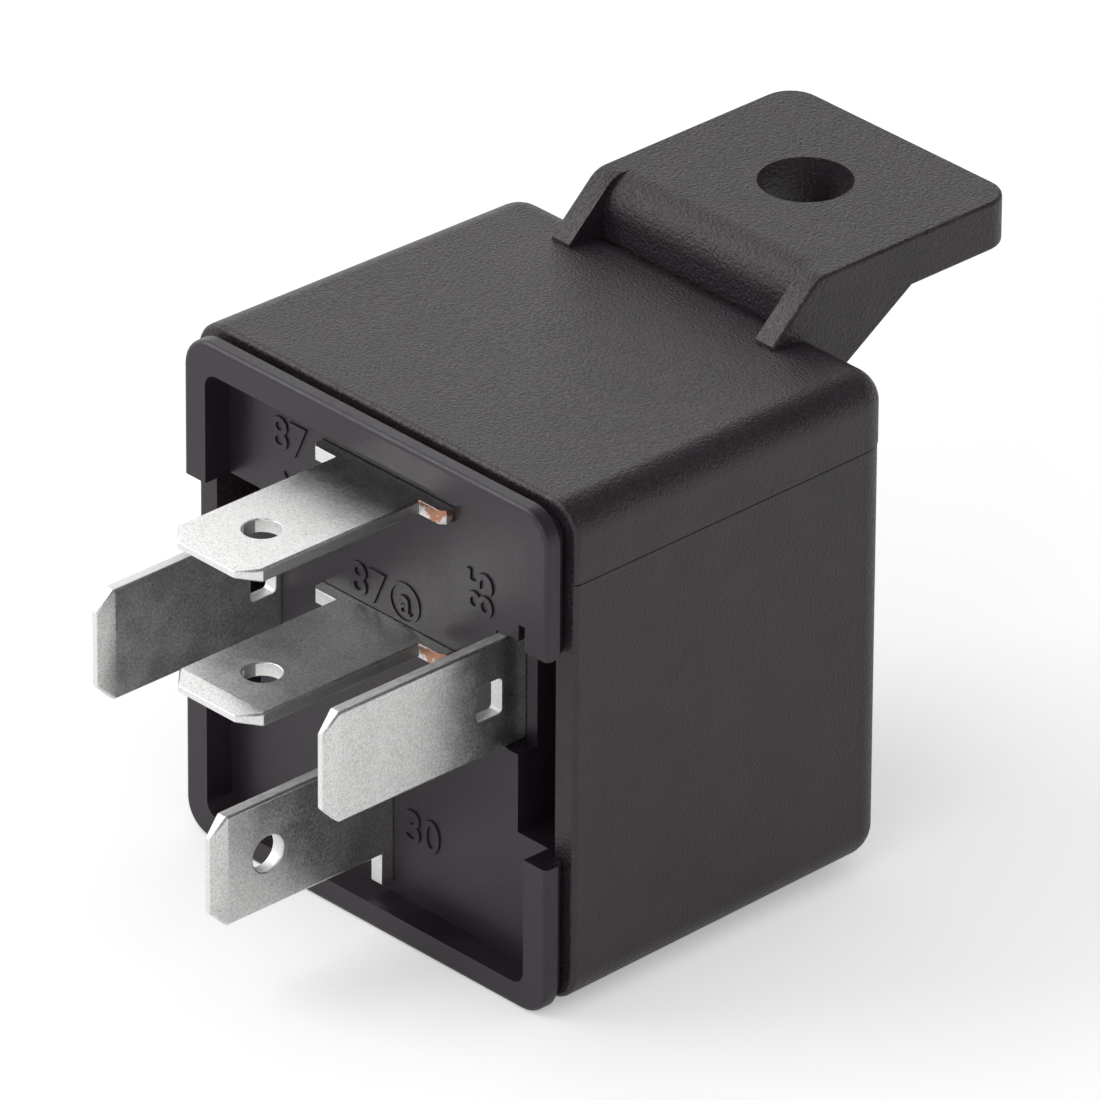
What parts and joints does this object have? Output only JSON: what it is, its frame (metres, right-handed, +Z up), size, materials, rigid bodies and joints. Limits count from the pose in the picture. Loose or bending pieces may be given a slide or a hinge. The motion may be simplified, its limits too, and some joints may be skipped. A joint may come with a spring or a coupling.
{
  "type": "automotive relay",
  "caption": "Plug-in change-over relay in a square plastic cover, flat blades at the base and a moulded fixing tab at the closed end, shown lying on its side.",
  "frame": {"origin": "under the middle of the whole relay, at the height of its lowest edge, as it lies on its side", "axes": "+X across the base, +Y from the blades to the fixing tab, +Z up through the tab's hole"},
  "size_m": [0.028, 0.048, 0.0318],
  "materials": {
    "cover_plastic": "fine moulded black plastic",
    "base_plastic": "black plastic, slightly smoother than the cover",
    "tinned_blade": "tin-plated sheet with a soft grain along the blade",
    "contact_silver": "smooth pale contact metal",
    "spring_bronze": "rolled spring bronze",
    "plated_iron": "zinc-plated sheet",
    "soft_iron": "turned soft iron",
    "rivet_steel": "plain steel",
    "bobbin_plastic": "natural glass-filled plastic",
    "copper_wire": "enamelled copper wire",
    "resistor_body": "lacquered body with tinned leads"
  },
  "bodies": {
    "relay": {"cover": "cover_plastic", "base": "base_plastic", "terminal_87": "tinned_blade", "terminal_87a": "tinned_blade", "terminal_30": "tinned_blade", "terminal_85": "tinned_blade", "terminal_86": "tinned_blade", "normally_open_contact": "contact_silver", "normally_closed_contact": "contact_silver", "yoke": "plated_iron", "core": "soft_iron", "bobbin": "bobbin_plastic", "coil_winding": "copper_wire", "coil_lead_85": "copper_wire", "coil_lead_86": "copper_wire", "resistor": "resistor_body"},
    "armature_body": {"armature": "plated_iron", "contact_spring": "spring_bronze", "moving_contact": "contact_silver", "armature_rivets": "rivet_steel"}
  },
  "joints": [
    {"name": "armature_tilt", "type": "hinge", "parent": "relay", "child": "armature_body", "pos_m": [0, 0.00347, 0.00435], "axis": [1, 0, 0], "range_deg": [0, 2.5], "stiffness_Nm_per_rad": 0.02, "springref_deg": -14.32}
  ]
}
